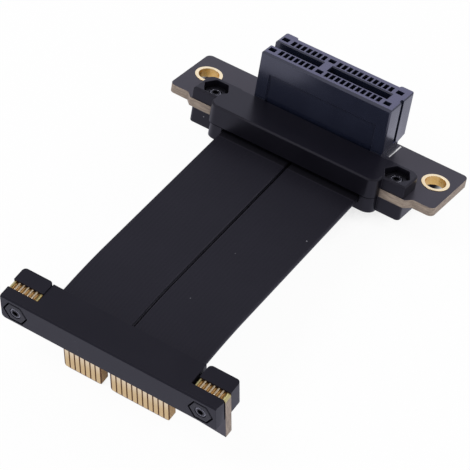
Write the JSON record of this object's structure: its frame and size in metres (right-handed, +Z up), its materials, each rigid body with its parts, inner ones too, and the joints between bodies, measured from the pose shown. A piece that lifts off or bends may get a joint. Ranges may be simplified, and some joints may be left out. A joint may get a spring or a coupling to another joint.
{
  "type": "pcie extension cable",
  "caption": "Short flat ribbon extension cable for x1 card slots: an open-ended socket on a flat board at one end, an upright card edge with gold fingers at the other.",
  "frame": {"origin": "centre of the bounding box in X and Y, on the flat surface that the cable stands on", "axes": "+X along the socket and the card edge, +Y from the card edge to the socket, +Z up"},
  "size_m": [0.0518, 0.0706, 0.018],
  "materials": {
    "board": "black solder mask, semi-gloss, tan glass-fibre edges",
    "socket": "dark navy glass-filled moulding",
    "shell": "black fine-textured moulding",
    "ribbon": "matte black flat cable jacket",
    "gold": "gold plating",
    "tin": "tinned copper and solder",
    "fastener": "black zinc"
  },
  "bodies": {
    "root": {"female_board": "board", "mounting_ring_left": "gold", "mounting_ring_right": "gold", "socket_housing": "socket", "socket_contacts_front": "gold", "socket_contacts_back": "gold", "solder_joints": "tin", "top_shell": "shell", "bottom_shell": "shell", "female_screws": "fastener", "female_nuts": "fastener", "female_wire_ends": "tin", "male_board": "board", "edge_fingers_front": "gold", "edge_fingers_back": "gold", "castle_strip_left": "gold", "castle_strip_right": "gold", "front_cover": "shell", "rear_cover": "shell", "male_screws": "fastener", "male_nuts": "fastener", "male_wire_ends": "tin", "ribbon_left": "ribbon", "ribbon_right": "ribbon"}
  },
  "joints": []
}
